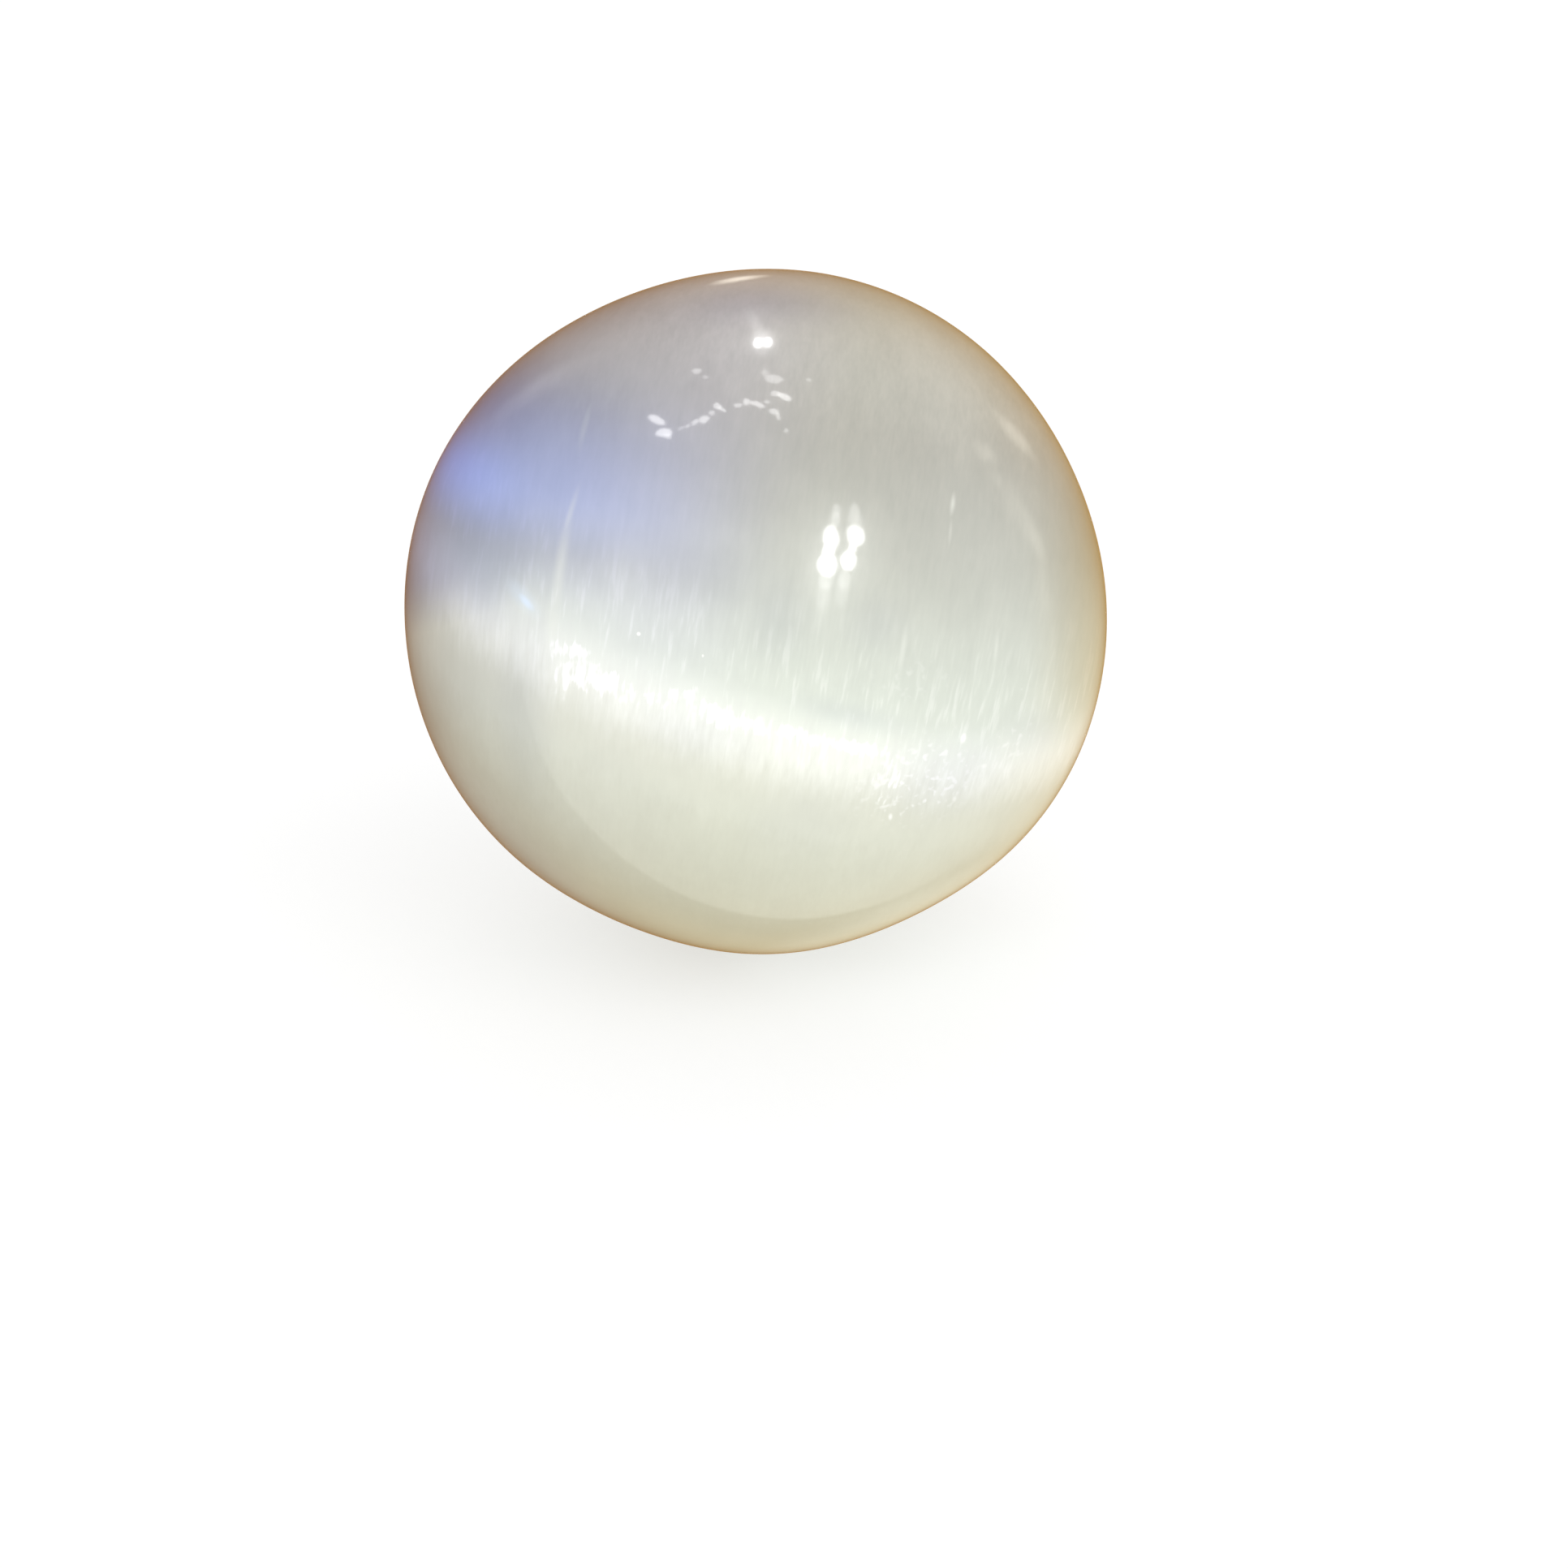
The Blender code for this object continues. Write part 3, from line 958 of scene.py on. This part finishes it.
def with_marks(bench, place, colour, finish, lens):
    """The colour with its painted blue glint, pale veins and white flecks of painted sparkle
    laid over it.
    """
    blue = marks_share(bench, place, PAINTED_BLUE_GLINTS, lens, BLUE_GLINT_EDGE)
    colour = bench.mixed(blue, colour, rgba(finish.painted_blue_glint))
    veins = marks_share(bench, place, PALE_VEINS, lens, SOFT_EDGE)
    colour = bench.mixed(veins, colour, rgba(finish.band_sheen_and_vein_colour))
    flecks = marks_share(bench, place, SPARKLING_FLECKS, lens, FLECK_EDGE)
    return bench.mixed(flecks, colour, rgba(finish.sheen_and_sparkle_white))


def stone_colour(bench, place, finish, lens):
    """Colour of the stone from its foot to its crown, with painted sheen, sparkle, reflection,
    light and shade laid into it.
    """
    patterns = fibre_patterns(bench, fibre_coordinates(bench, place, finish))
    band_axis = leaning_axis(finish.band_lean, finish.band_tilt)
    height = bench.vector("DOT_PRODUCT", place, band_axis)
    uneven_height = weighed(bench, height, patterns, STREAKS_IN_HEIGHT)
    colour = height_ramp_with_painted_light(bench, uneven_height, finish)
    colour = silky(bench, place, height, patterns, colour)
    # Painted sheen and sparkle, laid over the stone in white
    white = bench.math("MAXIMUM", painted_band_sheen(bench, place, patterns, lens),
                       fibres_with_painted_sheen(bench, place, height, patterns))
    white = bench.math("MAXIMUM", white, painted_sparkle(bench, place, lens))
    colour = bench.mixed(white, colour, rgba(finish.sheen_and_sparkle_white))
    colour = painted_left_light_and_shade(bench, place, height, colour, finish)
    colour = painted_outline_shade_and_light(bench, place, colour, finish)
    colour = painted_shade_patches(bench, place, colour, finish, lens)
    colour = painted_blue_flash(bench, place, colour, finish)
    return with_marks(bench, place, colour, finish, lens)


def satin_spar(finish, lens):
    """Milky fibrous gypsum under a high polish."""
    material, shader = new_material("satin_spar", {
        "Roughness": STONE_ROUGHNESS,
        "IOR": GYPSUM_IOR,
        "Coat Weight": 1.0,
        "Coat Roughness": POLISH_ROUGHNESS,
    })
    bench = NodeBench(material.node_tree)
    colour = stone_colour(bench, front_coordinates(bench), finish, lens)
    bench.feed(shader.inputs["Base Color"], colour)
    return material


# The stage

def make_camera(setting):
    camera = new_object("Camera", bpy.data.cameras.new("Camera"))
    camera.data.lens = setting.lens
    camera.data.sensor_width = SENSOR_WIDTH
    camera.data.shift_x = 0.5 - OUTLINE_MIDDLE[0] / PHOTO_SIDE
    camera.data.shift_y = OUTLINE_MIDDLE[1] / PHOTO_SIDE - 0.5
    camera.data.clip_start = 0.01
    camera.data.clip_end = 20.0
    camera.location = sight_line(OUTLINE_MIDDLE, setting.lens)[0]
    camera.rotation_euler = (-TOWARD).to_track_quat("-Z", "Y").to_euler()
    bpy.context.scene.camera = camera


def make_floor(setting):
    """A pale floor lit a little from within, like a light table, so shadows stay weak."""
    mesh = bpy.data.meshes.new("floor")
    sides = ((-1, -1), (1, -1), (1, 1), (-1, 1))
    corners = [(FLOOR_HALF_WIDTH * x, FLOOR_HALF_WIDTH * y, 0.0) for x, y in sides]
    mesh.from_pydata(corners, [], [(0, 1, 2, 3)])
    mesh.materials.append(new_material("pale_floor", {
        "Base Color": rgba(setting.floor_colour),
        "Roughness": 1.0,
        "Specular IOR Level": 0.0,
        "Emission Color": (1.0, 1.0, 1.0, 1.0),
        "Emission Strength": setting.floor_glow,
    })[0])
    floor = new_object("floor", mesh)
    floor.visible_glossy = False


def mirrored(ball, pixel, lens):
    """Direction in which the ball's polish mirrors the sight line through a pixel."""
    start, sight = sight_line(pixel, lens)
    hit, place, _, index = ball.ray_cast(start, sight)
    if not hit:
        raise RuntimeError(f"no part of the ball shows at pixel {pixel[:]}")
    corners = [ball.data.vertices[vertex] for vertex in ball.data.polygons[index].vertices]
    shares = poly_3d_calc([corner.co for corner in corners], place)
    weighted = (corner.normal * share for corner, share in zip(corners, shares))
    normal = sum(weighted, Vector()).normalized()
    return sight - 2 * sight.dot(normal) * normal


def glints_glow(bench, way, ball, glints, lens, edge):
    """Brightness that windows and lamps have in the polish."""
    glow = 0.0
    for glint in glints:
        middle, axes = spot_place(lambda pixel: mirrored(ball, pixel, lens), glint)
        glow = bench.math("ADD", glow, bench.spot(way, middle, axes, glint.glow, edge))
    return glow


def share_towards(bench, way, *reaches):
    """Share that reaches give a direction in which one looks from the ball."""
    turned = [(front_direction(*direction), *ease) for direction, *ease in reaches]
    return share_along(bench, way, *turned)


def mirrored_room(bench, way, setting):
    """What the polish mirrors: a pale room in front, a dim tan one behind the ball,
    and a bright table low in front, whose edge shows at the lower left."""
    to_right = share_towards(bench, way, ROOM_RIGHT)
    room = bench.mixed(to_right, rgba(setting.room_left), rgba(setting.room_right))
    room = bench.mixed(share_towards(bench, way, ROOM_LOW), room, rgba(setting.room_low))
    room = bench.mixed(share_towards(bench, way, ROOM_FRONT), room, rgba(setting.room_front))
    table = share_towards(bench, way, TABLE_EDGE, TABLE_LOW_LEFT)
    return bench.vector("ADD", room, bench.scaled(tuple(setting.room_table), table))


def soft_light(bench, way, setting):
    """Even light with a wide soft lamp in front, to the right, and one behind."""
    key = share_towards(bench, way, KEY_LAMP)
    back = share_towards(bench, way, BACK_LAMP)
    light = bench.math("MULTIPLY_ADD", key, setting.key_strength, setting.dome_strength)
    return bench.math("MULTIPLY_ADD", back, setting.back_strength, light)


def room_with_glints(bench, way, setting, ball):
    """The mirrored room with its window, lamps and their glow, bent by the hand polish."""
    uneven = bench.vector("SUBTRACT", bench.noise_colour(way, RIPPLE_SCALE), (0.5, 0.5, 0.5))
    rippled = bench.vector("ADD", way, bench.scaled(uneven, setting.ripple))
    window = glints_glow(bench, rippled, ball, WINDOW, setting.lens, WINDOW_EDGE)
    lamps = glints_glow(bench, rippled, ball, LAMPS + STRING, setting.lens, LAMP_EDGE)
    halos = glints_glow(bench, way, ball, HALOS, setting.lens, SOFT_EDGE)
    white_glow = bench.math("ADD", bench.math("ADD", window, lamps), halos)
    warm_glow = glints_glow(bench, way, ball, EDGE_LIGHTS, setting.lens, EDGE_LIGHT_EDGE)
    room = mirrored_room(bench, way, setting)
    room = bench.vector("ADD", room, bench.scaled((1.0, 1.0, 1.0), white_glow))
    return bench.vector("ADD", room, bench.scaled(tuple(setting.warm_tint), warm_glow))


def make_room(setting, ball):
    """White light from all round for what is matt, and a mirrored room for the polish."""
    world = bpy.data.worlds.new("studio")
    world.use_nodes = True
    # Only mirrored rays see the small bright glints, so no light is sought from them
    world.cycles.sampling_method = "NONE"
    bpy.context.scene.world = world
    bench = NodeBench(world.node_tree)
    way = bench.node("ShaderNodeTexCoord").outputs["Generated"]
    room = room_with_glints(bench, way, setting, ball)
    path = bench.node("ShaderNodeLightPath")
    light = bench.shader_mix(path.outputs["Is Camera Ray"],
                             bench.background(soft_light(bench, way, setting)),
                             bench.background((1.0, 1.0, 1.0, 1.0)))
    seen = bench.shader_mix(path.outputs["Is Glossy Ray"], light, bench.background(room))
    bench.feed(world.node_tree.nodes["World Output"].inputs["Surface"], seen)


class SELENITE_OT_ball(bpy.types.Operator):
    """Make the polished satin spar ball"""
    bl_idname = "selenite.ball"
    bl_label = "Make Ball"

    def execute(self, context):
        scene = context.scene
        material = satin_spar(scene.selenite_finish, scene.selenite_studio.lens)
        tree, values = ball_tree(scene.selenite_shape, material)
        ball = mesh_from_tree("satin_spar_ball", tree, values)
        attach(ball, "root")
        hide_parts("sphere")
        return {"FINISHED"}


class SELENITE_OT_stage(bpy.types.Operator):
    """Make the floor, the soft light and the camera"""
    bl_idname = "selenite.stage"
    bl_label = "Make Stage"

    def execute(self, context):
        setting = context.scene.selenite_studio
        make_camera(setting)
        make_floor(setting)
        context.view_layer.update()
        make_room(setting, bpy.data.objects["satin_spar_ball"])
        context.scene.view_settings.view_transform = "Standard"
        return {"FINISHED"}


class SELENITE_PT_panel(bpy.types.Panel):
    """Lists the ball and its stage in the sidebar."""
    bl_label = "Selenite Sphere"
    bl_idname = "SELENITE_PT_panel"
    bl_space_type = "VIEW_3D"
    bl_region_type = "UI"
    bl_category = "Selenite"

    def draw(self, context):
        for operator in (SELENITE_OT_ball, SELENITE_OT_stage):
            self.layout.operator(operator.bl_idname)


CLASSES = (
    BallShape,
    StoneColoursAndPaintedLight,
    StudioSetting,
    SELENITE_OT_ball,
    SELENITE_OT_stage,
    SELENITE_PT_panel,
)


def register():
    for item in CLASSES:
        bpy.utils.register_class(item)
    bpy.types.Scene.selenite_shape = bpy.props.PointerProperty(type=BallShape)
    bpy.types.Scene.selenite_finish = bpy.props.PointerProperty(type=StoneColoursAndPaintedLight)
    bpy.types.Scene.selenite_studio = bpy.props.PointerProperty(type=StudioSetting)


def unregister():
    del bpy.types.Scene.selenite_studio
    del bpy.types.Scene.selenite_finish
    del bpy.types.Scene.selenite_shape
    for item in reversed(CLASSES):
        bpy.utils.unregister_class(item)


def main():
    register()
    bpy.ops.selenite.ball()
    bpy.ops.selenite.stage()


if __name__ == "__main__":
    main()
